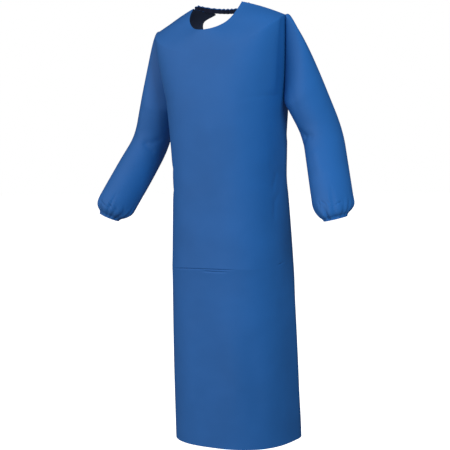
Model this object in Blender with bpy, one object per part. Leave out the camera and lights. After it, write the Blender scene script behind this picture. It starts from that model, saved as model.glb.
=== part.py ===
# Long-sleeved protective apron, open at the back, filled out as worn.
# Metres, +Z up. The origin lies on the centre line, 6 mm above the neck points' mean height.
# The apron faces -Y, and the wearer's left is +X.

import math
from collections import namedtuple

import bmesh
import bpy

# ---- Driving sizes ----
WALL = 0.002                 # coated cloth, as built
SEAM_GAP = 0.0003            # parting between sewn pieces
HEM_HEIGHT = -1.240          # hem at the sides, below the neck points
HEM_SIDE_RISE = 0.008        # the hem's middle hangs this much lower than its sides

NECK_POINT = (0.082, -0.028, -0.006)     # where the shoulder seam meets the neckline
SHOULDER_TIP = (0.212, -0.012, -0.056)   # where the shoulder seam meets the sleeve
UNDERARM = (0.180, 0.030, -0.268)        # foot of the armhole, head of the side seam
SHOULDER_BOW = 0.003         # the shoulder seam's rise over a straight line
SHOULDER_LEAN = 0.034        # the slope from the wearer's right shoulder up to the left
LEAN_FROM = -0.268           # the height above which the cloth takes that slope
NECK_DROP = 0.078            # front neckline below the neck points
NECK_ROUND = 2.3             # 2 is an ellipse, more is squarer
ROW_ROUND = 2.0              # how the rows of cloth sag between the armholes and at the hem
ARMHOLE_FRONT = 0.010        # how far the armhole swings forward
ARMHOLE_BACK = 0.060         # and backward
ARMHOLE_BACK_SHAPE = 1.5     # 1 is a half ellipse, 2 a flatter curve pointed at both ends
ARMHOLE_HOLLOW = 0.004       # how far its middle is drawn in
EDGE_PULL = 5                # how closely a panel keeps to the body's form beside the armhole

BACK_NECK_DIP = 0.014        # how far the neck's edge sinks toward the centre back
INNER_DIP = 0.8              # the share of that dip reached at the back opening
BAND_HEIGHT = 0.013
BAND_CENTRE = 0.0775         # how far back the neck band reaches
BAND_WAVES = 30
BAND_WAVE_DEPTH = 0.0016
BAND_EDGE_WAVE = 0.4         # how much of the wave's depth its free edge rises and falls
BAND_HALF_ANGLE = 86.0       # degrees round the neck, each way from the centre back
BAND_END_SHARE = 0.35        # the band's height at its two ends, as a share
BAND_TAPER = 0.10            # the share of its length over which it narrows to them

WAIST_HEIGHT = -0.500
STRAP_HEIGHT = 0.025
STRAP_REACH = 0.100          # half the strap's length
STRAP_GAP = 0.0009           # the strap's parting from the back panels' drawn surface

ELBOW = (0.292, 0.037, -0.380)
WRIST = (0.382, -0.072, -0.604)
SLEEVE_RADIUS = 0.0565
SLEEVE_DEPTH_SHARE = 0.93    # the sleeve is a little flatter front to back
WRIST_RADIUS = 0.0320
CUFF_LENGTH = 0.011
MOUTH_FACING = {             # which way each open cuff faces, for an arm on the wearer's left
    "left": (0.194, 0.087, -1.0),
    "right": (0.393, -0.213, -1.0),
}
GATHERS = 12                 # at each wrist
GATHER_DEPTH = 0.0030

FOLD_HEIGHT = -0.738         # the pressed fold across the front
ROW_FAN = 0.022              # how far the cloth's rows fan out at the foot of the armhole
CHEST_LIFT = 0.06            # the share of the armhole's height that the fan takes
FOLD_WIDTH = 0.010
FOLD_STEP = 0.0015

# The hollow body, level by level. side is the Y of the side seam, front and back the Y of the
# panels on the centre line; a squareness of 2 is an ellipse.
Level = namedtuple("Level", "height half_width side front back front_square back_square")
BODY_LEVELS = (
    Level(-1.260, 0.1855, 0.030, -0.129, 0.144, 2.7, 2.3),
    Level(-1.000, 0.1840, 0.030, -0.124, 0.137, 2.8, 2.3),
    Level(-0.735, 0.1775, 0.030, -0.118, 0.130, 2.9, 2.3),
    Level(-0.560, 0.1700, 0.030, -0.114, 0.121, 2.9, 2.3),
    Level(-0.500, 0.1670, 0.030, -0.113, 0.112, 2.9, 2.3),
    Level(-0.440, 0.1685, 0.030, -0.114, 0.116, 2.9, 2.3),
    Level(-0.350, 0.1730, 0.030, -0.117, 0.121, 2.9, 2.3),
    Level(-0.268, 0.1800, 0.030, -0.118, 0.122, 2.9, 2.3),
    Level(-0.180, 0.1950, 0.030, -0.114, 0.120, 2.8, 2.3),
    Level(-0.110, 0.2050, 0.030, -0.106, 0.114, 2.6, 2.3),
    Level(-0.056, 0.2120, 0.030, -0.090, 0.102, 2.3, 2.2),
    Level(-0.025, 0.2120, 0.030, -0.076, 0.090, 2.1, 2.1),
    Level(0.004, 0.2120, 0.030, -0.060, 0.078, 2.0, 2.0),
)

# Half the width of the opening between the two back panels.
Gap = namedtuple("Gap", "height half_width")
BACK_OPENING = (
    Gap(-1.260, 0.100),
    Gap(-1.000, 0.096),
    Gap(-0.700, 0.084),
    Gap(-0.500, 0.070),
    Gap(-0.330, 0.104),
    Gap(-0.160, 0.128),
    Gap(-0.100, 0.132),
    Gap(-0.060, 0.126),
    Gap(-0.038, 0.109),
    Gap(-0.020, 0.064),
)

CLOTH_ROUGHNESS = 0.55
COLOURS = {
    "front": (0.038, 0.127, 0.367),
    "back": (0.030, 0.105, 0.318),
    "sleeve": (0.034, 0.116, 0.342),
    "band": (0.022, 0.075, 0.238),
}


# ---- Small helpers ----
TINY = 1e-6
FACING_STEP = 0.002          # of a piece's length, for the direction square to it
MERGE = 0.00002
PATTERN_NEAR = 0.00001
SHARP_FROM = 50.0            # degrees


def mix(a, b, share):
    return a + (b - a) * share


def mix_points(a, b, share):
    return tuple(mix(p, q, share) for p, q in zip(a, b))


def unit(vector):
    size = math.sqrt(sum(c * c for c in vector))
    return tuple(c / size for c in vector)


def minus(a, b):
    return tuple(p - q for p, q in zip(a, b))


def cross(a, b):
    return (a[1] * b[2] - a[2] * b[1], a[2] * b[0] - a[0] * b[2], a[0] * b[1] - a[1] * b[0])


def dot(a, b):
    return sum(p * q for p, q in zip(a, b))


def along(point, direction, distance):
    return tuple(p + d * distance for p, d in zip(point, direction))


def smooth(share):
    share = min(max(share, 0.0), 1.0)
    return share * share * (3.0 - 2.0 * share)


def dome(share, power):
    """1 on the centre line, falling to 0 at the edge; a power of 2 is an ellipse, more is squarer."""
    return max(1.0 - min(share, 1.0) ** power, 0.0) ** (1.0 / power)


def at_height(table, field, height):
    """A smooth value between the rows of a table, by height."""
    heights = [row.height for row in table]
    values = [getattr(row, field) for row in table]
    height = min(max(height, heights[0]), heights[-1])
    span = 0
    while span < len(heights) - 2 and height > heights[span + 1]:
        span += 1

    def slope(i):
        low = max(i - 1, 0)
        high = min(i + 1, len(heights) - 1)
        return (values[high] - values[low]) / (heights[high] - heights[low])

    step = heights[span + 1] - heights[span]
    t = (height - heights[span]) / step
    start = values[span] + t * t * (3 - 2 * t) * (values[span + 1] - values[span])
    return start + step * (t * (1 - t) ** 2 * slope(span) - t * t * (1 - t) * slope(span + 1))


# ---- Lines that the pieces share ----
SEAM_HEIGHTS = (
    HEM_HEIGHT, -1.180, -1.110, -1.030, -0.950, -0.870, -0.800, -0.754, -0.744, -0.734, -0.724,
    -0.660, -0.600, -0.550, -0.514, WAIST_HEIGHT, -0.486, -0.450, -0.395, -0.330, UNDERARM[2],
)
SIDE_ROWS = len(SEAM_HEIGHTS) - 1
ARMHOLE_ROWS = 12
ARMHOLE_TALL = 2.0           # how much taller than deep the armhole's loop is drawn
SHOULDER_ROWS = 5
FRONT_COLUMNS = 24
BACK_COLUMNS = 8
STRAP_COLUMNS = 10
WAVE_COLUMNS = 4             # to each gather or wave
EDGE_ROWS = SIDE_ROWS + ARMHOLE_ROWS + SHOULDER_ROWS
SEAM_END = SIDE_ROWS / EDGE_ROWS
ARMHOLE_END = (SIDE_ROWS + ARMHOLE_ROWS) / EDGE_ROWS


def shoulder_seam(share):
    """From the tip, 0, to the neck point, 1."""
    x, y, z = mix_points(SHOULDER_TIP, NECK_POINT, share)
    return (x, y, z + SHOULDER_BOW * math.sin(math.pi * share))


def armhole(turn):
    """A turn of 0 is the shoulder tip, -180 and 180 degrees the underarm; negative is the front."""
    fall = (1.0 - math.cos(turn)) / 2.0
    x, y, z = mix_points(SHOULDER_TIP, UNDERARM, fall)
    swing = math.sin(turn)
    if swing > 0:
        y += ARMHOLE_BACK * swing ** ARMHOLE_BACK_SHAPE
    else:
        y += ARMHOLE_FRONT * swing
    x -= ARMHOLE_HOLLOW * swing * swing
    return (x, y, z)


def edge_turn(share, half):
    """The armhole's turn at a share of a panel's outer edge."""
    part = (share - SEAM_END) / (ARMHOLE_END - SEAM_END)
    return half * math.pi * (1.0 - part)


def side_edge(share, half):
    """A panel's outer edge from the hem up: side seam, armhole, shoulder seam. half is -1 in front."""
    if share <= SEAM_END:
        row = min(int(share / SEAM_END * SIDE_ROWS + TINY), SIDE_ROWS - 1)
        part = share / SEAM_END * SIDE_ROWS - row
        height = mix(SEAM_HEIGHTS[row], SEAM_HEIGHTS[row + 1], part)
        return (at_height(BODY_LEVELS, "half_width", height),
                at_height(BODY_LEVELS, "side", height), height)
    if share <= ARMHOLE_END:
        return armhole(edge_turn(share, half))
    return shoulder_seam((share - ARMHOLE_END) / (1.0 - ARMHOLE_END))


def panel_depth(across, edge, height, half):
    """The panel's Y at a share of its half width; 1 is its outer edge."""
    field = "front" if half < 0 else "back"
    side = at_height(BODY_LEVELS, "side", height)
    middle = at_height(BODY_LEVELS, field, height)
    power = at_height(BODY_LEVELS, field + "_square", height)
    body = mix(side, middle, dome(abs(across), power))
    return body + (edge[1] - side) * min(abs(across), 1.0) ** EDGE_PULL


def armhole_facing(turn):
    """Out from the armhole's middle, in the plane where the panels meet the sleeve."""
    x, y, z = armhole(turn)
    middle_y = mix(SHOULDER_TIP[1], UNDERARM[1], 0.5) + (ARMHOLE_BACK - ARMHOLE_FRONT) / 2
    middle_z = mix(SHOULDER_TIP[2], UNDERARM[2], 0.5)
    return unit((0.0, (y - middle_y) * ARMHOLE_TALL, z - middle_z))


def panel_facing(place, u, v, half, on_edge):
    """Square to the panel, but within the seam's own plane along its outer edge."""
    facing = surface_facing(place, u, v, 1.0)
    if not on_edge:
        return facing
    if SEAM_END < v < ARMHOLE_END:
        return armhole_facing(edge_turn(v, half))
    flat = unit((facing[0], 0.0, facing[2]))
    if min(abs(v - SEAM_END), abs(v - ARMHOLE_END)) < TINY:
        return unit(mix_points(flat, armhole_facing(edge_turn(v, half)), 0.5))
    return flat


# ---- Panels ----
def front_point(u, v):
    """u runs from the wearer's right side, 0, to the left, 1; v from the hem, 0, to the neckline."""
    across = math.sin((u - 0.5) * math.pi)
    edge = side_edge(v, -1)
    lift = (v - SEAM_END) / (1.0 - SEAM_END)
    if lift <= 0:
        low = HEM_SIDE_RISE * (1.0 - v / SEAM_END)
        sag = (low + ROW_FAN * (v / SEAM_END) ** 4) * dome(abs(across), ROW_ROUND)
    else:
        middle = mix(UNDERARM[2] - ROW_FAN, -NECK_DROP, lift)
        low_row = dome(abs(across), ROW_ROUND)
        chest_row = 1.0 - min(abs(across), 1.0) ** NECK_ROUND
        neck_row = dome(abs(across), NECK_ROUND)
        shape = mix(mix(low_row, chest_row, smooth(lift / CHEST_LIFT)), neck_row, lift ** 3)
        sag = (edge[2] - middle) * shape
    height = edge[2] - sag
    y = panel_depth(across, edge, height, -1)
    below_fold = smooth((FOLD_HEIGHT - height) / FOLD_WIDTH + 0.5)
    y += FOLD_STEP * below_fold * dome(abs(across), ROW_ROUND)
    return (across * edge[0], y, height)


def front_facing(u, v):
    return panel_facing(front_point, u, v, -1, min(u, 1.0 - u) < TINY)


def back_point(u, v):
    """The wearer's left back: u runs from the outer edge, 0, to the opening, 1."""
    edge = side_edge(v, 1)
    lift = max((v - SEAM_END) / (1.0 - SEAM_END), 0.0)
    dip = BACK_NECK_DIP * smooth(lift)
    inner_x = at_height(BACK_OPENING, "half_width", edge[2] - INNER_DIP * dip)
    start = math.asin(min(inner_x / edge[0], 1.0))
    across = math.sin(mix(math.pi / 2, start, u))
    height = edge[2] - dip * dome(across, ROW_ROUND)
    y = panel_depth(across, edge, height, 1)
    return (across * edge[0], y + SEAM_GAP, height)


def back_facing(u, v):
    return panel_facing(back_point, u, v, 1, u < TINY)


def strap_seat(u, v):
    """The line of the back panels under the waist strap, carried on across the opening."""
    height = WAIST_HEIGHT + STRAP_HEIGHT * (v - 0.5)
    edge = (at_height(BODY_LEVELS, "half_width", height),
            at_height(BODY_LEVELS, "side", height), height)
    x = STRAP_REACH * (1.0 - 2.0 * u)
    return (x, panel_depth(x / edge[0], edge, height, 1), height)


def strap_point(u, v):
    return along(strap_seat(u, v), surface_facing(strap_seat, u, v, 1.0), WALL + STRAP_GAP)


def cloth_material(name):
    material = bpy.data.materials.new("coated_cloth_" + name)
    material.use_nodes = True
    shader = material.node_tree.nodes["Principled BSDF"]
    shader.inputs["Base Color"].default_value = (*COLOURS[name], 1.0)
    shader.inputs["Roughness"].default_value = CLOTH_ROUGHNESS
    shader.inputs["Metallic"].default_value = 0.0
    material.diffuse_color = (*COLOURS[name], 1.0)
    return material


def flat_pattern(columns, rows):
    """A flat sheet with u along X and v along Y, each from 0 to 1."""
    pattern = bmesh.new()
    bmesh.ops.create_grid(pattern, x_segments=columns, y_segments=rows, size=0.5)
    bmesh.ops.translate(pattern, vec=(0.5, 0.5, 0.0), verts=pattern.verts)
    return pattern


def surface_facing(place, u, v, top):
    """The direction square to a piece's surface, from points close to it."""
    left = place(max(u - FACING_STEP, 0.0), v)
    right = place(min(u + FACING_STEP, 1.0), v)
    low = place(u, max(v - FACING_STEP, 0.0))
    high = place(u, min(v + FACING_STEP, top))
    return unit(cross(minus(right, left), minus(high, low)))


def sew(name, pattern, place, facing, material, closed=False, mirrored=False):
    """Carries a flat pattern to its place on the body and gives it the cloth's wall."""
    flat = pattern.verts.layers.float_vector.new("flat")
    for vert in pattern.verts:
        vert[flat] = vert.co
        vert.co = place(vert.co.x, vert.co.y)
    if closed:
        bmesh.ops.remove_doubles(pattern, verts=pattern.verts, dist=MERGE)
    inside = bmesh.ops.extrude_face_region(pattern, geom=pattern.faces[:])["geom"]
    for vert in (item for item in inside if isinstance(item, bmesh.types.BMVert)):
        u, v, _ = vert[flat]
        vert.co = along(vert.co, facing(u, v), -WALL)
    if mirrored:
        bmesh.ops.scale(pattern, vec=(-1.0, 1.0, 1.0), verts=pattern.verts)
    for vert in pattern.verts:
        vert.co.z += SHOULDER_LEAN * vert.co.x * smooth(1.0 - vert.co.z / LEAN_FROM)
    bmesh.ops.recalc_face_normals(pattern, faces=pattern.faces)
    mesh = bpy.data.meshes.new(name)
    pattern.to_mesh(mesh)
    pattern.free()
    mesh.shade_smooth()
    mesh.set_sharp_from_angle(angle=math.radians(SHARP_FROM))
    mesh.materials.append(material)
    piece = bpy.data.objects.new(name, mesh)
    bpy.context.scene.collection.objects.link(piece)
    return piece


# ---- Sleeves ----
SLEEVE_COLUMNS = 24
CAP_ROWS = 7
UPPER_ROWS = 3
ELBOW_ROWS = 3
FOREARM_ROWS = 4
GATHER_ROWS = 4
GATHER_LENGTH = 0.046
GATHER_ROUND = 2.1
CAP_END = -0.105             # the first full ring, measured from the elbow
BEND = 0.05                  # half the length over which the elbow bends
ELBOW_ZONE = 0.04
CAP_LEAVE = (-1.6, -0.55)    # the slope at which the cap leaves the underarm and the tip
CAP_PUSH = (0.7, 0.6)        # how far it keeps that slope
CAP_ARRIVE = (0.7, 0.9)      # and how early it takes the upper arm's

UPPER_ARM = unit((0.360, 0.120, -1.0))
FOREARM = unit(minus(WRIST, ELBOW))
WRIST_REACH = math.dist(ELBOW, WRIST)
GATHER_START = WRIST_REACH - CUFF_LENGTH - GATHER_LENGTH


def arm_axis(reach):
    """Centre and direction at a distance past the elbow, its bend rounded."""
    t = reach / (2 * BEND) + 0.5
    direction = unit(mix_points(UPPER_ARM, FOREARM, smooth(t)))
    if t <= 0:
        return along(ELBOW, UPPER_ARM, reach), direction
    if t >= 1:
        return along(ELBOW, FOREARM, reach), direction
    start = along(ELBOW, UPPER_ARM, -BEND)
    end = along(ELBOW, FOREARM, BEND)
    centre = tuple((1 - t) ** 2 * a + 2 * t * (1 - t) * b + t * t * c
                   for a, b, c in zip(start, ELBOW, end))
    return centre, direction


def ring_point(reach, turn, radius, mouth=None, droop=0.0):
    """A point round the sleeve; turn 0 is its outer top, as on the armhole. A droop of 1 tilts the
    ring until it faces as the cuff's mouth does."""
    centre, direction = arm_axis(reach)
    backward = unit(cross(direction, (1.0, 0.0, 0.0)))
    if backward[1] < 0:
        backward = tuple(-c for c in backward)
    outward = unit(cross(backward, direction))
    if outward[0] < 0:
        outward = tuple(-c for c in outward)
    wide = radius * math.cos(turn)
    deep = radius * SLEEVE_DEPTH_SHARE * math.sin(turn)
    ring = tuple(outward[i] * wide + backward[i] * deep for i in range(3))
    if mouth:
        slide = -droop * dot(mouth, ring) / dot(mouth, direction)
        ring = along(ring, direction, slide)
    return tuple(c + r for c, r in zip(centre, ring))


def cap_point(turn, share):
    """From the armhole, 0, to the first full ring of the upper arm, 1."""
    start = along(armhole(turn), (1.0, 0.0, 0.0), SEAM_GAP)
    end = ring_point(CAP_END, turn, SLEEVE_RADIUS)
    top = (1.0 + math.cos(turn)) / 2.0
    leave = unit((1.0, 0.0, mix(*CAP_LEAVE, top)))
    span = math.dist(start, end)
    push = span * mix(*CAP_PUSH, top)
    arrive = span * mix(*CAP_ARRIVE, top)
    t = share
    at_end = smooth(t)
    at_start = 1.0 - at_end
    swing = t * (1.0 - t) ** 2
    settle = t * t * (t - 1.0)
    return tuple(at_start * start[i] + swing * push * leave[i] + at_end * end[i]
                 + settle * arrive * UPPER_ARM[i] for i in range(3))


def gather_radius(share):
    """The sleeve's radius over the gathers, from full, 0, to the wrist, 1."""
    return mix(WRIST_RADIUS, SLEEVE_RADIUS, dome(share, GATHER_ROUND))


def sleeve_point(u, v, mouth):
    """u runs once round the sleeve; v falls from the armhole, 0, to the wrist, 1 and beyond."""
    turn = (u - 0.5) * 2.0 * math.pi
    row = v * PLAIN_ROWS
    if row <= CAP_ROWS:
        return cap_point(turn, row / CAP_ROWS)
    row -= CAP_ROWS
    if row <= UPPER_ROWS:
        return ring_point(mix(CAP_END, -ELBOW_ZONE, row / UPPER_ROWS), turn, SLEEVE_RADIUS)
    row -= UPPER_ROWS
    if row <= ELBOW_ROWS:
        return ring_point(mix(-ELBOW_ZONE, ELBOW_ZONE, row / ELBOW_ROWS), turn, SLEEVE_RADIUS)
    row -= ELBOW_ROWS
    if row <= FOREARM_ROWS + TINY:
        return ring_point(mix(ELBOW_ZONE, GATHER_START, row / FOREARM_ROWS), turn, SLEEVE_RADIUS)
    share = (row - FOREARM_ROWS) / GATHER_ROWS
    radius = gather_radius(share) + GATHER_DEPTH * share * math.cos(GATHERS * turn)
    reach = GATHER_START + GATHER_LENGTH * share
    return ring_point(reach, turn, radius, mouth, smooth(share))


PLAIN_ROWS = CAP_ROWS + UPPER_ROWS + ELBOW_ROWS + FOREARM_ROWS
SLEEVE_END = 1.0 + GATHER_ROWS / PLAIN_ROWS


def sleeve_place(side):
    mouth = unit(MOUTH_FACING[side])
    return lambda u, v: sleeve_point(u, v, mouth)


def sleeve_facing(place):
    def facing(u, v):
        if v < TINY:
            return armhole_facing((u - 0.5) * 2.0 * math.pi)
        return tuple(-c for c in surface_facing(place, u, v, SLEEVE_END))
    return facing


def edges_at(pattern, v):
    return [e for e in pattern.edges if all(abs(end.co.y - v) < PATTERN_NEAR for end in e.verts)]


def sleeve_pattern():
    """The tube's flat sheet, twice as fine where it gathers."""
    pattern = flat_pattern(SLEEVE_COLUMNS, PLAIN_ROWS)
    bmesh.ops.subdivide_edges(pattern, edges=edges_at(pattern, 1.0), cuts=1)
    for row in range(GATHER_ROWS):
        edges = edges_at(pattern, 1.0 + row / PLAIN_ROWS)
        new = bmesh.ops.extrude_edge_only(pattern, edges=edges)["geom"]
        fresh = [g for g in new if isinstance(g, bmesh.types.BMVert)]
        bmesh.ops.translate(pattern, vec=(0.0, 1.0 / PLAIN_ROWS, 0.0), verts=fresh)
    return pattern


def cuff_place(side):
    mouth = unit(MOUTH_FACING[side])

    def place(u, v):
        turn = (u - 0.5) * 2.0 * math.pi
        radius = WRIST_RADIUS + GATHER_DEPTH * math.cos(GATHERS * turn)
        reach = mix(WRIST_REACH - CUFF_LENGTH + SEAM_GAP, WRIST_REACH, v)
        return ring_point(reach, turn, radius, mouth, 1.0)
    return place


# ---- Neck band and waist strap ----
def band_point(u, v):
    """u runs round the back of the neck from the right neck point, 0, to the left, 1."""
    angle = mix(-1.0, 1.0, u) * math.radians(BAND_HALF_ANGLE)
    x = NECK_POINT[0] * math.sin(angle)
    y = mix(NECK_POINT[1], BAND_CENTRE, math.cos(angle))
    ruffle = BAND_WAVE_DEPTH * math.sin(u * BAND_WAVES * 2 * math.pi)
    rise = NECK_POINT[2] + SEAM_GAP * 2 - BACK_NECK_DIP * math.cos(angle)
    height = BAND_HEIGHT * mix(BAND_END_SHARE, 1.0, smooth(min(u, 1.0 - u) / BAND_TAPER))
    return (x + ruffle * math.sin(angle), y + ruffle * math.cos(angle),
            rise + (height + BAND_EDGE_WAVE * ruffle) * v)


def plain_facing(place, sign):
    """The facing of a piece with no shared seam plane."""
    def facing(u, v):
        return tuple(sign * c for c in surface_facing(place, u, v, 1.0))
    return facing


def main():
    for item in list(bpy.data.objects):
        bpy.data.objects.remove(item)
    cloth = {name: cloth_material(name) for name in COLOURS}
    sew("front_panel", flat_pattern(FRONT_COLUMNS, EDGE_ROWS), front_point, front_facing,
        cloth["front"])
    for side, mirrored in (("left", False), ("right", True)):
        sew("back_panel_" + side, flat_pattern(BACK_COLUMNS, EDGE_ROWS), back_point, back_facing,
            cloth["back"], mirrored=mirrored)
        sleeve = sleeve_place(side)
        sew("sleeve_" + side, sleeve_pattern(), sleeve, sleeve_facing(sleeve),
            cloth["sleeve"], closed=True, mirrored=mirrored)
        cuff = cuff_place(side)
        sew("cuff_" + side, flat_pattern(WAVE_COLUMNS * GATHERS, 1), cuff,
            plain_facing(cuff, -1), cloth["sleeve"], closed=True, mirrored=mirrored)
    sew("neck_band", flat_pattern(WAVE_COLUMNS * BAND_WAVES, 1), band_point,
        plain_facing(band_point, -1), cloth["band"])
    sew("waist_strap", flat_pattern(STRAP_COLUMNS, 1), strap_point, plain_facing(strap_point, 1),
        cloth["band"])


main()
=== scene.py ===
import math
from bisect import bisect_left
from collections import namedtuple

import bmesh
import bpy
from mathutils import Matrix, Vector


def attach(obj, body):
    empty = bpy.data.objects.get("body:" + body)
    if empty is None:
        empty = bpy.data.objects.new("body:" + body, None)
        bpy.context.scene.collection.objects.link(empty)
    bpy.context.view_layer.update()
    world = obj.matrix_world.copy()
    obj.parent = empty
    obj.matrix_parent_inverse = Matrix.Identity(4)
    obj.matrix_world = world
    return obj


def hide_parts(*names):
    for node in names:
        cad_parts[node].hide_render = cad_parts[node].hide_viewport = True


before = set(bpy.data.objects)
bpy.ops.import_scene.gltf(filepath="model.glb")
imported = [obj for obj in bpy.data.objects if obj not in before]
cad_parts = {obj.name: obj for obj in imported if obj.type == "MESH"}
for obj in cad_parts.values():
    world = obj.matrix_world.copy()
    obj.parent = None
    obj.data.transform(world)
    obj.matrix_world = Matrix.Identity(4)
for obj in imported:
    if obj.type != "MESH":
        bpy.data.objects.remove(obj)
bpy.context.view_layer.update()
print("stage: frame loaded")


# small helpers
def mix(a, b, share):
    return a + (b - a) * share


def smooth(share):
    share = min(max(share, 0.0), 1.0)
    return share * share * (3.0 - 2.0 * share)


def dome(share, power):
    # 1 on the centre line and 0 at the edge
    return max(1.0 - min(share, 1.0) ** power, 0.0) ** (1.0 / power)


def bump(distance, width):
    return math.exp(-(distance / width) ** 2)


def puff(distance, width):
    # nothing on a seam, most at one width from it, fading beyond
    part = max(distance, 0.0) / width
    return part * math.exp(1.0 - part)


def atHeight(table, field, height):
    # a smooth value between the rows of a table
    last = len(table) - 2
    height = min(max(height, table[0].height), table[-1].height)
    span = 0
    while span < last and height > table[span + 1].height:
        span += 1

    def slope(i):
        low, high = table[max(i - 1, 0)], table[min(i + 1, last + 1)]
        return (getattr(high, field) - getattr(low, field)) / (high.height - low.height)

    step = table[span + 1].height - table[span].height
    t = (height - table[span].height) / step
    value = mix(getattr(table[span], field), getattr(table[span + 1], field), smooth(t))
    return value + step * (t * (1 - t) ** 2 * slope(span) - t * t * (1 - t) * slope(span + 1))


# the cut in metres, as in the solids but for a slight shift of the armholes
neckPoint = Vector((0.082, -0.028, -0.006))
shoulderTip = Vector((0.212, -0.012, -0.056))
underarm = Vector((0.180, 0.030, -0.268))
cut = {
    "hemHeight": -1.240,
    "hemSideRise": 0.008,
    "waistHeight": -0.500,
    "shoulderBow": 0.003,
    "shoulderLean": 0.034,  # rise for each metre toward the wearer's left
    "leanFrom": -0.268,
    "neckDrop": 0.078,
    "neckRound": 2.3,
    "rowRound": 2.0,
    "rowFan": 0.022,
    "fanFrom": -0.50,
    "chestLift": 0.06,
    "armholeFront": 0.000,
    "armholeBack": 0.060,
    "armholeBackShape": 1.5,
    "armholeHollow": -0.001,
    "edgePull": 5,
    "backNeckDip": 0.014,
    "innerDip": 0.8,
}

Level = namedtuple("Level", "height halfWidth side front back frontSquare backSquare")
bodyLevels = (
    Level(-1.260, 0.1855, 0.030, -0.129, 0.144, 2.7, 2.3),
    Level(-1.000, 0.1840, 0.030, -0.124, 0.137, 2.8, 2.3),
    Level(-0.735, 0.1775, 0.030, -0.118, 0.130, 2.9, 2.3),
    Level(-0.560, 0.1700, 0.030, -0.114, 0.121, 2.9, 2.3),
    Level(-0.500, 0.1670, 0.030, -0.113, 0.112, 2.9, 2.3),
    Level(-0.440, 0.1685, 0.030, -0.114, 0.116, 2.9, 2.3),
    Level(-0.350, 0.1730, 0.030, -0.117, 0.121, 2.9, 2.3),
    Level(-0.268, 0.1800, 0.030, -0.118, 0.122, 2.9, 2.3),
    Level(-0.180, 0.1950, 0.030, -0.114, 0.120, 2.8, 2.3),
    Level(-0.110, 0.2050, 0.030, -0.106, 0.114, 2.6, 2.3),
    Level(-0.056, 0.2120, 0.030, -0.090, 0.102, 2.3, 2.2),
    Level(-0.025, 0.2120, 0.030, -0.076, 0.090, 2.1, 2.1),
    Level(0.004, 0.2120, 0.030, -0.060, 0.078, 2.0, 2.0),
)
Gap = namedtuple("Gap", "height halfWidth")
backOpening = (
    Gap(-1.260, 0.100),
    Gap(-1.000, 0.096),
    Gap(-0.700, 0.084),
    Gap(-0.500, 0.070),
    Gap(-0.330, 0.104),
    Gap(-0.160, 0.128),
    Gap(-0.100, 0.132),
    Gap(-0.060, 0.126),
    Gap(-0.038, 0.109),
    Gap(-0.020, 0.064),
)

# shares of a panel's outer edge that are side seam, armhole and shoulder
seamEnd = 0.66
armholeEnd = 0.90


def shoulderSeam(share):
    point = shoulderTip.lerp(neckPoint, share)
    point.z += cut["shoulderBow"] * math.sin(math.pi * share)
    return point


def armhole(turn):
    # 0 is the shoulder tip, half a turn the underarm; negative is the front
    point = shoulderTip.lerp(underarm, (1.0 - math.cos(turn)) / 2.0)
    swing = math.sin(turn)
    if swing > 0:
        point.y += cut["armholeBack"] * swing ** cut["armholeBackShape"]
    else:
        point.y += cut["armholeFront"] * swing
    point.x -= cut["armholeHollow"] * swing * swing
    return point


def sideEdge(share, half):
    if share <= seamEnd:
        height = mix(cut["hemHeight"], underarm.z, share / seamEnd)
        return Vector((atHeight(bodyLevels, "halfWidth", height),
                       atHeight(bodyLevels, "side", height), height))
    if share <= armholeEnd:
        part = (share - seamEnd) / (armholeEnd - seamEnd)
        return armhole(half * math.pi * (1.0 - part))
    return shoulderSeam((share - armholeEnd) / (1.0 - armholeEnd))


def panelDepth(across, edge, height, half):
    field = "front" if half < 0 else "back"
    side = atHeight(bodyLevels, "side", height)
    middle = atHeight(bodyLevels, field, height)
    power = atHeight(bodyLevels, field + "Square", height)
    body = mix(side, middle, dome(abs(across), power))
    return body + (edge.y - side) * min(abs(across), 1.0) ** cut["edgePull"]


def frontPlace(u, v):
    # u from the wearer's right to the left, v from the hem to the neckline
    across = math.sin((u - 0.5) * math.pi)
    edge = sideEdge(v, -1)
    lift = (v - seamEnd) / (1.0 - seamEnd)
    if lift <= 0:
        low = cut["hemSideRise"] * (1.0 - v / seamEnd)
        rise = (edge.z - cut["fanFrom"]) / (underarm.z - cut["fanFrom"])
        fan = cut["rowFan"] * smooth(rise) ** 2
        sag = (low + fan) * dome(abs(across), cut["rowRound"])
    else:
        middle = mix(underarm.z - cut["rowFan"], -cut["neckDrop"], lift)
        lowRow = dome(abs(across), cut["rowRound"])
        chestRow = 1.0 - min(abs(across), 1.0) ** cut["neckRound"]
        neckRow = dome(abs(across), cut["neckRound"])
        shape = mix(mix(lowRow, chestRow, smooth(lift / cut["chestLift"])), neckRow, lift ** 3)
        sag = (edge.z - middle) * shape
    height = edge.z - sag
    return Vector((across * edge.x, panelDepth(across, edge, height, -1), height))


def backPlace(u, v):
    # the wearer's left back, u from the outer edge to the opening
    edge = sideEdge(v, 1)
    lift = max((v - seamEnd) / (1.0 - seamEnd), 0.0)
    dip = cut["backNeckDip"] * smooth(lift)
    innerX = atHeight(backOpening, "halfWidth", edge.z - cut["innerDip"] * dip)
    start = math.asin(min(innerX / edge.x, 1.0))
    across = math.sin(mix(math.pi / 2, start, u))
    height = edge.z - dip * dome(across, cut["rowRound"])
    return Vector((across * edge.x, panelDepth(across, edge, height, 1), height))


# creases listed one by one: each runs through its points on the cloth, and a negative depth is a
# trough
Crease = namedtuple("Crease", "points width depth")
creaseSettings = {
    "reach": 2.6,  # widths from the line at which it has run out
    "fadeShare": 0.25,  # share of its length that fades at each end
}


def onBody(x, z, half=-1):
    edge = Vector((atHeight(bodyLevels, "halfWidth", z), atHeight(bodyLevels, "side", z), z))
    return Vector((x, panelDepth(x / edge.x, edge, z, half), z))


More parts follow.
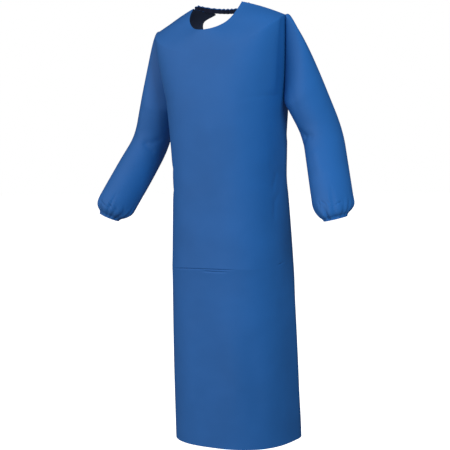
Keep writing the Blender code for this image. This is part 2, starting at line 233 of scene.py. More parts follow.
def creaseHeight(point, creases):
    total = 0.0
    for crease in creases:
        reach = creaseSettings["reach"] * crease.width
        nearest = None
        for i in range(len(crease.points) - 1):
            start, end = crease.points[i], crease.points[i + 1]
            if not min(start.z, end.z) - reach < point.z < max(start.z, end.z) + reach:
                continue
            along = end - start
            t = min(max((point - start).dot(along) / along.length_squared, 0.0), 1.0)
            distance = (point - start - along * t).length
            if nearest is None or distance < nearest[0]:
                nearest = (distance, (i + t) / (len(crease.points) - 1))
        if nearest and nearest[0] < reach:
            distance, share = nearest
            fade = smooth(share / creaseSettings["fadeShare"])
            fade *= smooth((1.0 - share) / creaseSettings["fadeShare"])
            total += crease.depth * fade * bump(distance, crease.width)
    return total


def bodyCrease(pairs, width, depth, half=-1):
    return Crease([onBody(x, z, half) for x, z in pairs], width, depth)


# every piece of cloth starts as a grid, is bent to its place and then gets its wall
shellSettings = {
    "thickness": 0.0005,
    "mergeDistance": 0.00002,
    "sharpAngle": 60.0,
    "rowSteps": 600,
}


def neverHemmed(v):
    return False


def crowdRows(spots):
    # draws the rows closer together round each spot, given as centre, width and gain
    steps = shellSettings["rowSteps"]
    sums = [0.0]
    for i in range(steps):
        v = (i + 0.5) / steps
        sums.append(sums[-1] + 1.0 + sum(gain * bump(v - centre, width)
                                         for centre, width, gain in spots))

    def rowAt(v):
        target = v * sums[-1]
        i = min(bisect_left(sums, target), steps)
        if i == 0:
            return 0.0
        return (i - 1 + (target - sums[i - 1]) / (sums[i] - sums[i - 1])) / steps
    return rowAt


def makePiece(name, columns, rows, place, relief, outward, materials, hemmed=neverHemmed,
              closed=False, crowded=()):
    rowAt = crowdRows(crowded)
    sheet = bmesh.new()
    # each point keeps its place on the flat cloth
    flat = sheet.verts.layers.float_vector.new("flat")
    bmesh.ops.create_grid(sheet, x_segments=columns, y_segments=rows, size=0.5)
    for vert in sheet.verts:
        u, v = vert.co.x + 0.5, rowAt(vert.co.y + 0.5)
        vert[flat] = (u, v, 0.0)
        vert.co = place(u, v)
    if closed:
        bmesh.ops.remove_doubles(sheet, verts=sheet.verts, dist=shellSettings["mergeDistance"])
    bmesh.ops.recalc_face_normals(sheet, faces=sheet.faces)
    sheet.faces.ensure_lookup_table()
    middle = sheet.faces[len(sheet.faces) // 2]
    if middle.normal.dot(outward(middle.calc_center_median())) < 0:
        bmesh.ops.reverse_faces(sheet, faces=sheet.faces)
    sheet.normal_update()
    moves = [(vert, vert.normal.copy() * relief(vert[flat][0], vert[flat][1], vert.co.copy()))
             for vert in sheet.verts]
    for vert, move in moves:
        vert.co += move
        lean = cut["shoulderLean"] * vert.co.x
        vert.co.z += lean * smooth(1.0 - vert.co.z / cut["leanFrom"])
    sheet.normal_update()
    # the reverse is a copy of the sheet, one thickness further in
    facing = sheet.verts.layers.float_vector.new("facing")
    for vert in sheet.verts:
        vert[facing] = vert.normal
    inner = bmesh.ops.extrude_face_region(sheet, geom=sheet.faces[:])["geom"]
    for item in inner:
        if isinstance(item, bmesh.types.BMVert):
            item.co -= item[facing] * shellSettings["thickness"]
        elif isinstance(item, bmesh.types.BMFace):
            item.material_index = 0 if hemmed(item.verts[0][flat][1]) else 1
    bmesh.ops.recalc_face_normals(sheet, faces=sheet.faces)
    mesh = bpy.data.meshes.new(name)
    sheet.to_mesh(mesh)
    sheet.free()
    mesh.shade_smooth()
    mesh.set_sharp_from_angle(angle=math.radians(shellSettings["sharpAngle"]))
    for material in materials:
        mesh.materials.append(material)
    piece = bpy.data.objects.new(name, mesh)
    bpy.context.scene.collection.objects.link(piece)
    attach(piece, "root")
    return piece


# materials, with their colours as sRGB hex
def linear(hexColour):
    parts = [int(hexColour[i:i + 2], 16) / 255 for i in (1, 3, 5)]
    return (*[p / 12.92 if p <= 0.04045 else ((p + 0.055) / 1.055) ** 2.4 for p in parts], 1.0)


def addNode(tree, kind, settings=None, links=None):
    node = tree.nodes.new(kind)
    for key, value in (settings or {}).items():
        if isinstance(key, int) or key in node.inputs:
            node.inputs[key].default_value = value
        else:
            setattr(node, key, value)
    for key, source in (links or {}).items():
        tree.links.new(source, node.inputs[key])
    return node


coatingSettings = {
    "colour": "#1C5DA3",
    "roughness": 0.64,
    "specular": 0.42,
    "ior": 1.5,
    "metallic": 0.0,
    "cloud": 7.0,  # patches about 140 mm across
    "cloudRange": (0.3, 0.7),
    "cloudTint": (0.95, 1.05),
    "crumple": 16.0,  # soft dents about 60 mm across
    "crumpleDepth": 0.0022,
    "grain": 1100.0,  # about 0.9 mm, coarser than the real grain so that it shows close up
    "grainDepth": 0.00004,
}
liningSettings = {
    "colour": "#465370",
    # the band's reverse is the lining's knit in a darker colour: painted shade for the dim inside
    # of the back neck
    "bandShadeColour": "#1E2233",
    "roughness": 0.9,
    "specular": 0.15,
    "knit": 900.0,  # loops about 1.1 mm apart
    "knitDepth": 0.00008,
}


def coatedMaterial(name, settings):
    # polyester knit with a thin polyurethane coating: matte, with a broad dull sheen,
    # a fine grain and a slight crumple
    material = bpy.data.materials.new(name)
    material.use_nodes = True
    tree = material.node_tree
    shader = tree.nodes["Principled BSDF"]
    place = addNode(tree, "ShaderNodeTexCoord").outputs["Object"]
    cloud = addNode(tree, "ShaderNodeTexNoise", {"Scale": settings["cloud"], "Detail": 2.0},
                    {"Vector": place})
    low, high = settings["cloudRange"]
    dark, light = settings["cloudTint"]
    tint = addNode(tree, "ShaderNodeMapRange",
                   {"From Min": low, "From Max": high, "To Min": dark, "To Max": light},
                   {"Value": cloud.outputs["Fac"]})
    shade = addNode(tree, "ShaderNodeHueSaturation", {"Color": linear(settings["colour"])},
                    {"Value": tint.outputs["Result"]})
    grain = addNode(tree, "ShaderNodeTexNoise", {"Scale": settings["grain"], "Detail": 2.0},
                    {"Vector": place})
    crumple = addNode(tree, "ShaderNodeTexNoise",
                      {"Scale": settings["crumple"], "Detail": 1.5, "Roughness": 0.4},
                      {"Vector": place})
    coarse = addNode(tree, "ShaderNodeBump",
                     {"Strength": 1.0, "Distance": settings["crumpleDepth"]},
                     {"Height": crumple.outputs["Fac"]})
    fine = addNode(tree, "ShaderNodeBump", {"Strength": 1.0, "Distance": settings["grainDepth"]},
                   {"Height": grain.outputs["Fac"], "Normal": coarse.outputs["Normal"]})
    tree.links.new(shade.outputs["Color"], shader.inputs["Base Color"])
    tree.links.new(fine.outputs["Normal"], shader.inputs["Normal"])
    shader.inputs["Roughness"].default_value = settings["roughness"]
    shader.inputs["Specular IOR Level"].default_value = settings["specular"]
    shader.inputs["IOR"].default_value = settings["ior"]
    shader.inputs["Metallic"].default_value = settings["metallic"]
    return material


def liningMaterial(name, colour, settings):
    # the polyester knit's uncoated reverse: dull, with no sheen and the small dents of its loops
    material = bpy.data.materials.new(name)
    material.use_nodes = True
    tree = material.node_tree
    shader = tree.nodes["Principled BSDF"]
    place = addNode(tree, "ShaderNodeTexCoord").outputs["Object"]
    knit = addNode(tree, "ShaderNodeTexNoise", {"Scale": settings["knit"], "Detail": 1.0},
                   {"Vector": place})
    dents = addNode(tree, "ShaderNodeBump", {"Strength": 1.0, "Distance": settings["knitDepth"]},
                    {"Height": knit.outputs["Fac"]})
    tree.links.new(dents.outputs["Normal"], shader.inputs["Normal"])
    shader.inputs["Base Color"].default_value = linear(colour)
    shader.inputs["Roughness"].default_value = settings["roughness"]
    shader.inputs["Specular IOR Level"].default_value = settings["specular"]
    return material


coatedBlue = coatedMaterial("coatedBlueKnit", coatingSettings)
darkReverse = liningMaterial("knitReverse", liningSettings["colour"], liningSettings)
# a darker copy of the knit's reverse, with painted shade for the inside of the back neck
bandReverseShaded = liningMaterial("bandReverseShaded", liningSettings["bandShadeColour"], liningSettings)
print("stage: materials made")


# front panel: the whole front, with the crease that a folded apron keeps
frontSettings = {
    "columns": 170,
    "rows": 280,
    "crowded": ((0.338, 0.016, 9.0), (0.66, 0.03, 1.0)),  # at the fold and the underarm
    "plainSide": 0.06,
    "foldRise": 0.0024,
    "foldReach": 0.026,
    "foldEnds": (-0.185, 0.172),
    "foldFades": (0.06, 0.05),
    "trough": -0.0018,
    "troughWidth": 0.0016,
    "troughDrop": 0.0020,
    "troughEnds": (-0.150, 0.095),
    "troughStart": 0.25,
    "armholePuff": 0.0030,
    "armholePuffWidth": 0.0040,
    "armholeFades": (0.06, 0.03),
    "seamFlat": 0.004,
    "neckHem": 0.0005,
    "neckHemWidth": 0.6,
    "neckHemRound": 0.1,
}
# x and height along the pressed fold
foldLine = (
    (-0.175, -0.7455), (-0.125, -0.7450), (-0.0705, -0.7427), (-0.010, -0.7424), (0.059, -0.7428),
    (0.1206, -0.7440), (0.137, -0.7452), (0.151, -0.7420), (0.168, -0.7352), (0.1765, -0.7262),
)
frontCreases = [
    bodyCrease([(-0.022, -0.7500), (0.020, -0.7512), (0.070, -0.7514)], 0.0022, -0.0016),
    bodyCrease([(0.1735, -0.7375), (0.1762, -0.7340), (0.1771, -0.7290)], 0.0024, -0.0022),
    bodyCrease([(0.1668, -0.4700), (0.1650, -0.5000), (0.1640, -0.5300)], 0.0060, -0.0018),
    bodyCrease([(0.1668, -0.5050), (0.1650, -0.4750), (0.1600, -0.4500)], 0.0060, -0.0014),
    bodyCrease([(0.1680, -0.5150), (0.1670, -0.5600), (0.1680, -0.6200)], 0.0070, -0.0018),
    bodyCrease([(-0.1660, -0.5000), (-0.1520, -0.5150), (-0.1300, -0.5500)], 0.0100, -0.0020),
    bodyCrease([(-0.1660, -0.4950), (-0.1500, -0.4700), (-0.1300, -0.4400)], 0.0100, -0.0018),
    bodyCrease([(0.060, -0.850), (0.075, -1.000), (0.080, -1.220)], 0.0300, 0.0025),
    bodyCrease([(-0.060, -0.880), (-0.070, -1.020), (-0.075, -1.200)], 0.0300, 0.0020),
    bodyCrease([(0.120, -0.900), (0.135, -1.050), (0.140, -1.220)], 0.0260, -0.0030),
    bodyCrease([(0.010, -0.300), (0.020, -0.420), (0.015, -0.560)], 0.0350, 0.0018),
]


def foldAt(x):
    for (x0, z0), (x1, z1) in zip(foldLine, foldLine[1:]):
        if x <= x1:
            return mix(z0, z1, smooth((x - x0) / (x1 - x0)))
    return foldLine[-1][1]


def frontRelief(u, v, point):
    settings = frontSettings
    side = smooth(min(u, 1.0 - u) / settings["plainSide"])
    below = point.z - foldAt(point.x)
    rightFade, leftFade = settings["foldFades"]
    right, left = settings["foldEnds"]
    fade = smooth((left - point.x) / leftFade) * smooth((point.x - right) / rightFade)
    height = settings["foldRise"] * math.exp(-abs(below) / settings["foldReach"]) * fade
    right, left = settings["troughEnds"]
    sharp = smooth((left - point.x) / leftFade)
    sharp *= mix(settings["troughStart"], 1.0, smooth((point.x - right) / rightFade))
    trough = bump(below + settings["troughDrop"], settings["troughWidth"])
    height += settings["trough"] * trough * sharp
    height += creaseHeight(point, frontCreases)
    if v > seamEnd:
        edge = sideEdge(v, -1)
        gap = edge.x - abs(point.x)
        lowFade, highFade = settings["armholeFades"]
        inArmhole = smooth((v - seamEnd) / lowFade) * smooth((armholeEnd - v) / highFade)
        height += settings["armholePuff"] * inArmhole * puff(gap, settings["armholePuffWidth"])
        side = smooth(gap / settings["seamFlat"]) if v < armholeEnd else 1.0
        neckEdge = (1.0 - v) / (1.0 - armholeEnd)
        hem = settings["neckHem"] * (1.0 - smooth(neckEdge / settings["neckHemWidth"]))
        height += hem * smooth(neckEdge / settings["neckHemRound"])
    return height * side


def outFromAxis(centre):
    return Vector((centre.x, centre.y - 0.01, 0.0))  # the body's axis is 10 mm back


frontPanel = makePiece("frontPanelCloth", frontSettings["columns"], frontSettings["rows"],
                       frontPlace, frontRelief, outFromAxis, [coatedBlue, darkReverse],
                       crowded=frontSettings["crowded"])
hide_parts("front_panel")
print("stage: front panel made")


# back panels: mirrored, with the creases of the wearer's right one a little lower
backSettings = {
    "columns": 56,
    "rows": 220,
    "plainSeam": 0.08,
    "edgeHem": 0.0006,
    "hemStart": 0.93,
    "hemStep": 0.03,
    "hemRound": 0.01,
    "creaseDrop": {1: 0.0, -1: 0.012},
}
backCreases = [
    bodyCrease([(0.088, -0.515), (0.108, -0.560), (0.118, -0.640)], 0.012, -0.0030, 1),
    bodyCrease([(0.086, -0.485), (0.104, -0.440), (0.112, -0.380)], 0.012, -0.0028, 1),
    bodyCrease([(0.102, -0.500), (0.130, -0.520), (0.150, -0.560)], 0.010, -0.0022, 1),
    bodyCrease([(0.130, -0.700), (0.138, -0.900), (0.142, -1.180)], 0.030, 0.0040, 1),
    bodyCrease([(0.160, -0.760), (0.166, -0.960), (0.168, -1.200)], 0.022, -0.0030, 1),
    bodyCrease([(0.150, -0.300), (0.160, -0.340), (0.164, -0.400)], 0.014, -0.0025, 1),
]


def makeBack(name, side):
    def place(u, v):
        point = backPlace(u, v)
        point.x *= side
        return point

    def relief(u, v, point):
        settings = backSettings
        seam = smooth(u / settings["plainSeam"])
        hem = settings["edgeHem"] * smooth((u - settings["hemStart"]) / settings["hemStep"])
        hem *= smooth((1.0 - u) / settings["hemRound"])
        seen = Vector((abs(point.x), point.y, point.z + settings["creaseDrop"][side]))
        return creaseHeight(seen, backCreases) * seam + hem

    piece = makePiece(name, backSettings["columns"], backSettings["rows"], place, relief,
                      outFromAxis, [coatedBlue, darkReverse])
    return piece


backLeft = makeBack("backPanelLeftCloth", 1)
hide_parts("back_panel_left")
backRight = makeBack("backPanelRightCloth", -1)
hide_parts("back_panel_right")
print("stage: back panels made")


# sleeves: bent tubes, gathered at the wrist; settings by side are 1 for the left, -1 for the right
elbow = Vector((0.292, 0.037, -0.380))
wrist = Vector((0.382, -0.072, -0.604))
upperArm = Vector((0.360, 0.120, -1.0)).normalized()
forearm = (wrist - elbow).normalized()
wristReach = (wrist - elbow).length
sleeveSettings = {
    "columns": 192,
    "rows": 230,
    "crowded": ((0.0, 0.03, 3.0), (1.0, 0.09, 2.5)),  # at the armhole and the gathers
    "radius": 0.0565,
    "depthShare": 0.93,
    "bend": 0.05,
    "forearmFuller": {1: 0.0, -1: 0.0025},
    "fullerReach": 0.12,
    "capShare": 0.33,
    "capEnd": -0.105,
    "capDrop": (-1.6, -0.55),  # slope where it leaves the armhole, at the underarm and on top
    "capStartPull": (0.7, 0.6),
    "capEndPull": (0.7, 0.9),
    "armholePuff": (0.0025, 0.0085),  # behind and in front
    "armholePuffWidth": (0.005, 0.011),
    "puffFront": (-0.3, 0.5),
    "puffFades": (0.004, 0.16),
    "underarmHang": {1: 0.0085, -1: 0.0030},
    "hangBelow": (0.2, 0.8),
    "hangCentre": 0.30,
    "hangReach": 0.12,
    "hangFade": 0.05,
    "wristRadius": 0.0365,
    "cuffLength": 0.011,
    "gatherLength": 0.046,
    "gatherRound": {1: (2.70, 0.80), -1: (3.30, 0.20)},
    "gathers": 12,
    "gatherDepth": 0.0040,
    "gatherShift": (0.16, 0.07),
    "gatherSwell": (0.8, 0.2),
    "gatherSharp": 0.06,
    "gatherMiddle": 1.25,
    "gatherReach": (0.050, 0.018, 0.010),
    "casing": 0.010,
    "plainEnd": 0.012,
}
# the way each open cuff faces, for an arm on the wearer's left
mouthFacing = {
    1: Vector((0.194, 0.087, -1.0)).normalized(),
    -1: Vector((0.393, -0.213, -1.0)).normalized(),
}
capShare = sleeveSettings["capShare"]
sleeveEnd = wristReach - sleeveSettings["cuffLength"]
gatherStart = wristReach - sleeveSettings["cuffLength"] - sleeveSettings["gatherLength"]


def armAxis(reach):
    # reach is the distance past the elbow, and negative above it
    bend = sleeveSettings["bend"]
    t = reach / (2 * bend) + 0.5
    direction = upperArm.lerp(forearm, smooth(t)).normalized()
    if t <= 0:
        return elbow + upperArm * reach, direction
    if t >= 1:
        return elbow + forearm * reach, direction
    start, end = elbow - upperArm * bend, elbow + forearm * bend
    return start * (1 - t) ** 2 + elbow * (2 * t * (1 - t)) + end * (t * t), direction


def ringPoint(reach, turn, radius, mouth=None, droop=0.0):
    # a point round the sleeve; droop slants the ring until it faces the way of the mouth
    centre, direction = armAxis(reach)
    backward = direction.cross(Vector((1.0, 0.0, 0.0))).normalized()
    if backward.y < 0:
        backward.negate()
    outward = backward.cross(direction).normalized()
    if outward.x < 0:
        outward.negate()
    deep = radius * sleeveSettings["depthShare"] * math.sin(turn)
    ring = outward * (radius * math.cos(turn)) + backward * deep
    if mouth:
        ring -= direction * (droop * mouth.dot(ring) / mouth.dot(direction))
    return centre + ring


def capPoint(turn, t):
    # runs from the armhole seam to the first full ring
    settings = sleeveSettings
    start = armhole(turn)
    end = ringPoint(settings["capEnd"], turn, settings["radius"])
    top = (1.0 + math.cos(turn)) / 2.0
    leave = Vector((1.0, 0.0, mix(*settings["capDrop"], top))).normalized()
    span = (end - start).length
    startPull = t * (1 - t) ** 2 * span * mix(*settings["capStartPull"], top)
    endPull = t * t * (t - 1) * span * mix(*settings["capEndPull"], top)
    return start.lerp(end, smooth(t)) + leave * startPull + upperArm * endPull


def gatherWave(turn, side):
    # rounded ridges with narrow valleys, unevenly spaced round the wrist
    settings = sleeveSettings
    slow, quick = settings["gatherShift"]
    warped = turn + slow * math.sin(2 * turn + side) + quick * math.sin(5 * turn + 2 * side)
    ridge = math.cos(settings["gathers"] * warped / 2.0)
    wave = 2.0 * math.sqrt(ridge * ridge + settings["gatherSharp"]) - settings["gatherMiddle"]
    even, swell = settings["gatherSwell"]
    return wave * (even + swell * math.sin(3 * turn + side))


def sleevePlace(u, v, side):
    # u runs round the sleeve from the underarm, v from the armhole to the cuff
    settings = sleeveSettings
    turn = (u - 0.5) * 2.0 * math.pi
    if v <= capShare:
        return capPoint(turn, v / capShare)
    reach = mix(settings["capEnd"], sleeveEnd, (v - capShare) / (1.0 - capShare))
    radius = settings["radius"]
    radius += settings["forearmFuller"][side] * smooth(reach / settings["fullerReach"])
    share = max((reach - gatherStart) / settings["gatherLength"], 0.0)
    if share > 0:
        middle, swing = settings["gatherRound"][side]
        narrowing = share ** (middle + swing * math.cos(turn))
        radius = mix(radius, settings["wristRadius"], narrowing)
    length, slow, quick = settings["gatherReach"]
    length = length + slow * math.sin(5 * turn + side) + quick * math.sin(9 * turn)
    drawn = smooth(1.0 - (sleeveEnd - reach) / length)
    radius += settings["gatherDepth"] * drawn * gatherWave(turn, side)
    return ringPoint(reach, turn, radius, mouthFacing[side], smooth(share))


def sleeveCrease(points, width, depth, side):
    placed = []
    for reach, degrees in points:
        point = ringPoint(reach, math.radians(degrees), sleeveSettings["radius"])
        point.x *= side
        placed.append(point)
    return Crease(placed, width, depth)


# reach past the elbow in metres, then degrees round the sleeve: 0 outer, -90 front
leftSleeveCreases = [
    sleeveCrease([(-0.040, -150), (0.000, -120), (0.030, -90)], 0.010, -0.0028, 1),
    sleeveCrease([(0.030, -165), (0.020, -135), (-0.010, -110)], 0.009, -0.0022, 1),
    sleeveCrease([(-0.060, 150), (-0.010, 165), (0.030, 180)], 0.010, -0.0025, 1),
    sleeveCrease([(0.060, -100), (0.110, -95), (0.160, -90)], 0.014, 0.0020, 1),
    sleeveCrease([(0.226, -106), (0.240, -94), (0.254, -90)], 0.0026, -0.0020, 1),
    sleeveCrease([(0.232, -86), (0.244, -80), (0.262, -80)], 0.0024, -0.0018, 1),
    sleeveCrease([(0.254, -70), (0.246, -54), (0.240, -42)], 0.0024, -0.0024, 1),
    sleeveCrease([(0.242, -54), (0.252, -36), (0.264, -10)], 0.0026, -0.0020, 1),
    sleeveCrease([(0.222, -114), (0.238, -110), (0.254, -118)], 0.0030, -0.0016, 1),
    sleeveCrease([(0.228, 60), (0.244, 72), (0.258, 70)], 0.0028, -0.0020, 1),
    sleeveCrease([(0.232, 140), (0.242, 124), (0.258, 128)], 0.0028, -0.0018, 1),
]
rightSleeveCreases = [
    sleeveCrease([(-0.030, -160), (0.005, -130), (0.020, -95)], 0.010, -0.0026, -1),
    sleeveCrease([(0.035, -160), (0.030, -130), (0.010, -105)], 0.009, -0.0022, -1),
    sleeveCrease([(-0.050, 150), (0.000, 160), (0.040, 175)], 0.010, -0.0025, -1),
    sleeveCrease([(-0.100, -60), (-0.040, -70), (0.000, -60)], 0.016, 0.0018, -1),
    sleeveCrease([(0.226, -38), (0.240, -84), (0.248, -120)], 0.0028, -0.0022, -1),
    sleeveCrease([(0.212, -62), (0.230, -102), (0.248, -138)], 0.0028, -0.0020, -1),
    sleeveCrease([(0.214, -94), (0.228, -126), (0.250, -154)], 0.0028, -0.0018, -1),
    sleeveCrease([(0.236, -70), (0.233, -100), (0.238, -132)], 0.0022, -0.0014, -1),
    sleeveCrease([(0.212, -150), (0.232, -162), (0.254, -186)], 0.0030, -0.0018, -1),
    sleeveCrease([(0.228, 60), (0.242, 48), (0.258, 56)], 0.0028, -0.0020, -1),
    sleeveCrease([(0.230, 100), (0.244, 114), (0.258, 106)], 0.0028, -0.0018, -1),
]


def makeSleeve(name, side, creases):
    def place(u, v):
        point = sleevePlace(u, v, side)
        point.x *= side
        return point

    def relief(u, v, point):
        settings = sleeveSettings
        turn = (u - 0.5) * 2.0 * math.pi
        height = creaseHeight(point, creases) * smooth((1.0 - v) / settings["plainEnd"])
        if v < capShare:
            seamGap = abs(point.x) - armhole(turn).x
            begin, step = settings["puffFront"]
            front = smooth((-math.sin(turn) - begin) / step)
            high = mix(*settings["armholePuff"], front)
            wide = mix(*settings["armholePuffWidth"], front)
            rise, fall = settings["puffFades"]
            height += high * puff(seamGap, wide) * smooth(v / rise) * smooth((capShare - v) / fall)
        begin, step = settings["hangBelow"]
        under = smooth((-math.cos(turn) - begin) / step)
        under = under * bump(v - settings["hangCentre"], settings["hangReach"])
        under = under * smooth(v / settings["hangFade"])
        return height + settings["underarmHang"][side] * under

    def outward(centre):
        spine = armAxis(-0.02)[0]  # just above the elbow
        return Vector((centre.x - spine.x * side, centre.y - spine.y, 0.0))

    def hemmed(v):
        # the casing of the elastic is turned to the inside
        return v > 1.0 - sleeveSettings["casing"] / (sleeveEnd - sleeveSettings["capEnd"])

    piece = makePiece(name, sleeveSettings["columns"], sleeveSettings["rows"], place, relief,
                      outward, [coatedBlue, darkReverse], hemmed, closed=True,
                      crowded=sleeveSettings["crowded"])
    return piece


sleeveLeft = makeSleeve("sleeveLeftCloth", 1, leftSleeveCreases)
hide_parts("sleeve_left")
sleeveRight = makeSleeve("sleeveRightCloth", -1, rightSleeveCreases)
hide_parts("sleeve_right")
print("stage: sleeves made")


# cuffs: the narrow elastic edge, carrying on the sleeve's gathers
cuffSettings = {
    "columns": 192,
    "rows": 7,
    "ease": 0.40,
    "mouthRadius": 0.0310,
    "seamDent": -0.0002,
    "dentCentre": 0.15,
    "dentWidth": 0.12,
}


def makeCuff(name, side):
    def place(u, v):
        turn = (u - 0.5) * 2.0 * math.pi
        reach = mix(sleeveEnd, wristReach, v)
        wave = sleeveSettings["gatherDepth"] * gatherWave(turn, side)
        wave *= 1.0 - cuffSettings["ease"] * v
        wide = (1.0 - v) ** 2
        radius = mix(cuffSettings["mouthRadius"], sleeveSettings["wristRadius"], wide) + wave
        point = ringPoint(reach, turn, radius, mouthFacing[side], 1.0)
        point.x *= side
        return point

    def relief(u, v, point):
        return cuffSettings["seamDent"] * bump(v - cuffSettings["dentCentre"],
                                               cuffSettings["dentWidth"])

    def outward(centre):
        return centre - Vector((wrist.x * side, wrist.y, wrist.z))

    piece = makePiece(name, cuffSettings["columns"], cuffSettings["rows"], place, relief,
                      outward, [coatedBlue, coatedBlue], closed=True)
    return piece


cuffLeft = makeCuff("cuffLeftCloth", 1)
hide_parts("cuff_left")
cuffRight = makeCuff("cuffRightCloth", -1)
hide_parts("cuff_right")
print("stage: cuffs made")


# neck band: a short ruffled strip of elastic behind the neck, its top turned to the inside
bandSettings = {
    "columns": 360,
    "rows": 6,
    "height": 0.0136,
    "foot": -0.0012,
    "edge": 0.70,
    "centre": 0.0775,
    "waves": 19,
    "waveDepth": 0.0022,
    "unevenness": (0.8, 0.5),
    "phaseShift": 1.6,
    "topWave": 0.6,
    "swell": 0.0006,
    "halfAngle": 86.0,
    "endShares": (0.50, 0.05),
    "tapers": (0.05, 0.24),
}


def bandPlace(u, v):
    settings = bandSettings
    angle = mix(-1.0, 1.0, u) * math.radians(settings["halfAngle"])
    x = neckPoint.x * math.sin(angle)
    y = mix(neckPoint.y, settings["centre"], math.cos(angle))
    even, swing = settings["unevenness"]
    uneven = even + swing * math.sin(11.0 * u + 0.7) * math.sin(29.0 * u)
    phase = u * settings["waves"] * 2 * math.pi + settings["phaseShift"] * math.sin(17.0 * u)
    end = round(u)  # 0 at the wearer's right shoulder, 1 at the left
    full = mix(settings["endShares"][end], 1.0, smooth(min(u, 1.0 - u) / settings["tapers"][end]))
    ruffle = settings["waveDepth"] * uneven * math.sin(phase) * full
    height = settings["height"] * full
    rise = neckPoint.z - cut["backNeckDip"] * math.cos(angle)
    rise += mix(settings["foot"], height + settings["topWave"] * ruffle, v)
    return Vector((x + ruffle * math.sin(angle), y + ruffle * math.cos(angle), rise))


def bandRelief(u, v, point):
    return bandSettings["swell"] * math.sin(math.pi * v)


def bandOutward(centre):
    return Vector((centre.x, centre.y - neckPoint.y, 0.0))


def bandHemmed(v):
    return v > bandSettings["edge"]


# the band's inside faces use the darker copy of the lining, which carries painted shade
neckBand = makePiece("neckBandCloth", bandSettings["columns"], bandSettings["rows"], bandPlace,
                     bandRelief, bandOutward, [coatedBlue, bandReverseShaded], bandHemmed)
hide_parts("neck_band")
print("stage: neck band made")


# waist strap: across the open back, sewn on top of both back panels
strapSettings = {
    "columns": 60,
    "rows": 10,
    "height": 0.025,
    "reach": 0.100,
    "stand": 0.0026,
    "sideways": 0.6,
    "edgeHem": 0.0003,
    "hemShare": 0.12,
}


def strapPlace(u, v):
    settings = strapSettings
    height = cut["waistHeight"] + settings["height"] * (v - 0.5)
    x = settings["reach"] * (1.0 - 2.0 * u)
    point = onBody(x, height, 1)
    outward = Vector((x * settings["sideways"], point.y, 0.0)).normalized()
    return point + outward * settings["stand"]


def strapRelief(u, v, point):
    edge = min(v, 1.0 - v)
    return strapSettings["edgeHem"] * (1.0 - smooth(edge / strapSettings["hemShare"]))


waistStrap = makePiece("waistStrapCloth", strapSettings["columns"], strapSettings["rows"],
                       strapPlace, strapRelief, outFromAxis, [coatedBlue, darkReverse])
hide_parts("waist_strap")
print("stage: waist strap made")


# stage, light and camera
stageSettings = {
    "floorHeight": -1.48,
    "floorSize": 40.0,
    "floorColour": "#F4F5F7",
    "floorRoughness": 0.9,
    "floorSpecular": 0.1,
    "floorGlow": 0.9,
    "worldBright": 0.48,
    "worldDark": 0.24,
    "worldToward": (-0.60, -0.78, 0.15),
}
lights = {
    "softBox": {"place": (-1.60, -2.75, 0.90), "size": 3.6, "power": 57.0, "shines": True,
                "aim": (0.0, -0.05, -0.45)},
    "rightFill": {"place": (1.95, -1.40, 0.75), "size": 1.0, "power": 40.0, "shines": False,
                  "aim": (0.0, -0.05, -0.25)},
}


def makeFloor(settings):
    sheet = bmesh.new()
    bmesh.ops.create_grid(sheet, x_segments=1, y_segments=1, size=settings["floorSize"] / 2)
    bmesh.ops.translate(sheet, vec=(0.0, 0.0, settings["floorHeight"]), verts=sheet.verts)
    mesh = bpy.data.meshes.new("floor")
    sheet.to_mesh(mesh)
    sheet.free()
    # matt backdrop paper, which glows a little so that no shadow greys it
    material = bpy.data.materials.new("palePaper")
    material.use_nodes = True
    shader = material.node_tree.nodes["Principled BSDF"]
    shader.inputs["Base Color"].default_value = linear(settings["floorColour"])
    shader.inputs["Roughness"].default_value = settings["floorRoughness"]
    shader.inputs["Specular IOR Level"].default_value = settings["floorSpecular"]
    shader.inputs["Emission Color"].default_value = (1.0, 1.0, 1.0, 1.0)
    shader.inputs["Emission Strength"].default_value = settings["floorGlow"]
    mesh.materials.append(material)
    floor = bpy.data.objects.new("floor", mesh)
    bpy.context.scene.collection.objects.link(floor)
    floor.visible_diffuse = False
    floor.visible_glossy = False


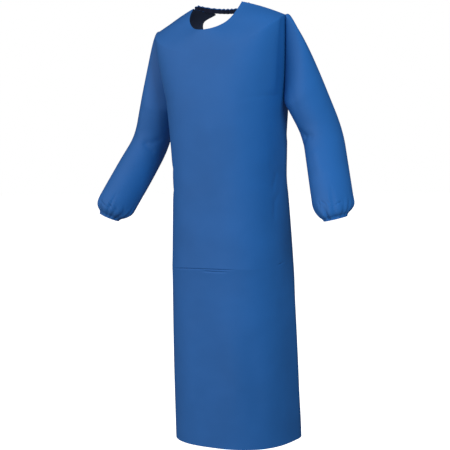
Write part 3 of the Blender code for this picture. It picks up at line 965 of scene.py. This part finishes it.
def makeWorld(settings):
    # white to the camera; for the cloth a grey sky, lighter on one side and with no sheen
    world = bpy.data.worlds.new("studio")
    world.use_nodes = True
    tree = world.node_tree
    tree.nodes.clear()
    place = addNode(tree, "ShaderNodeTexCoord").outputs["Generated"]
    toward = Vector(settings["worldToward"]).normalized()
    facing = addNode(tree, "ShaderNodeVectorMath", {"operation": "DOT_PRODUCT"},
                     {0: place})
    facing.inputs[1].default_value = toward
    level = addNode(tree, "ShaderNodeMapRange",
                    {"From Min": -1.0, "From Max": 1.0, "To Min": settings["worldDark"],
                     "To Max": settings["worldBright"]}, {"Value": facing.outputs["Value"]})
    path = addNode(tree, "ShaderNodeLightPath")
    dull = addNode(tree, "ShaderNodeMath", {"operation": "SUBTRACT", 0: 1.0},
                   {1: path.outputs["Is Glossy Ray"]})
    strength = addNode(tree, "ShaderNodeMath", {"operation": "MULTIPLY"},
                       {0: level.outputs["Result"], 1: dull.outputs[0]})
    soft = addNode(tree, "ShaderNodeBackground", {"Color": (1.0, 1.0, 1.0, 1.0)},
                   {"Strength": strength.outputs[0]})
    plain = addNode(tree, "ShaderNodeBackground",
                    {"Color": (1.0, 1.0, 1.0, 1.0), "Strength": 1.0})
    both = addNode(tree, "ShaderNodeMixShader", None,
                   {0: path.outputs["Is Camera Ray"], 1: soft.outputs[0], 2: plain.outputs[0]})
    addNode(tree, "ShaderNodeOutputWorld", None, {"Surface": both.outputs[0]})
    world.cycles.sampling_method = "NONE"  # else the sky is sampled as a light, and shines
    bpy.context.scene.world = world


def makeLight(name, settings):
    light = bpy.data.lights.new(name, "AREA")
    light.shape = "SQUARE"
    light.size = settings["size"]
    light.energy = settings["power"]
    box = bpy.data.objects.new(name, light)
    box.location = settings["place"]
    aim = Vector(settings["aim"]) - box.location
    box.rotation_euler = aim.to_track_quat("-Z", "Y").to_euler()
    box.visible_glossy = settings["shines"]
    bpy.context.scene.collection.objects.link(box)


makeFloor(stageSettings)
makeWorld(stageSettings)
for lightName, lightSettings in lights.items():
    makeLight(lightName, lightSettings)
bpy.context.scene.view_settings.view_transform = "Standard"

cameraSettings = {
    "azimuth": 33.5,
    "elevation": 3.7,
    "roll": -1.8,
    "distance": 3.4,
    "aside": -0.0130,
    "height": -0.6285,
    "pixelsPerMetre": 348.5,
    "imagePixels": 450,
    "sensor": 36.0,
}


def makeCamera(settings):
    azimuth = math.radians(settings["azimuth"])
    elevation = math.radians(settings["elevation"])
    roll = math.radians(settings["roll"])
    right = Vector((math.cos(azimuth), math.sin(azimuth), 0.0))
    back = Vector((math.sin(azimuth) * math.cos(elevation),
                   -math.cos(azimuth) * math.cos(elevation), math.sin(elevation)))
    up = back.cross(right)
    imageRight = right * math.cos(roll) + up * math.sin(roll)
    imageUp = up * math.cos(roll) - right * math.sin(roll)
    data = bpy.data.cameras.new("camera")
    data.sensor_width = settings["sensor"]
    focal = settings["pixelsPerMetre"] * settings["distance"]
    data.lens = focal / settings["imagePixels"] * settings["sensor"]
    data.dof.use_dof = False
    camera = bpy.data.objects.new("camera", data)
    place = right * settings["aside"] + Vector((0.0, 0.0, settings["height"]))
    place += back * settings["distance"]
    turned = Matrix((imageRight, imageUp, back)).transposed().to_4x4()
    turned.translation = place
    camera.matrix_world = turned
    bpy.context.scene.collection.objects.link(camera)
    bpy.context.scene.camera = camera


makeCamera(cameraSettings)
print("stage: floor, light and camera made")
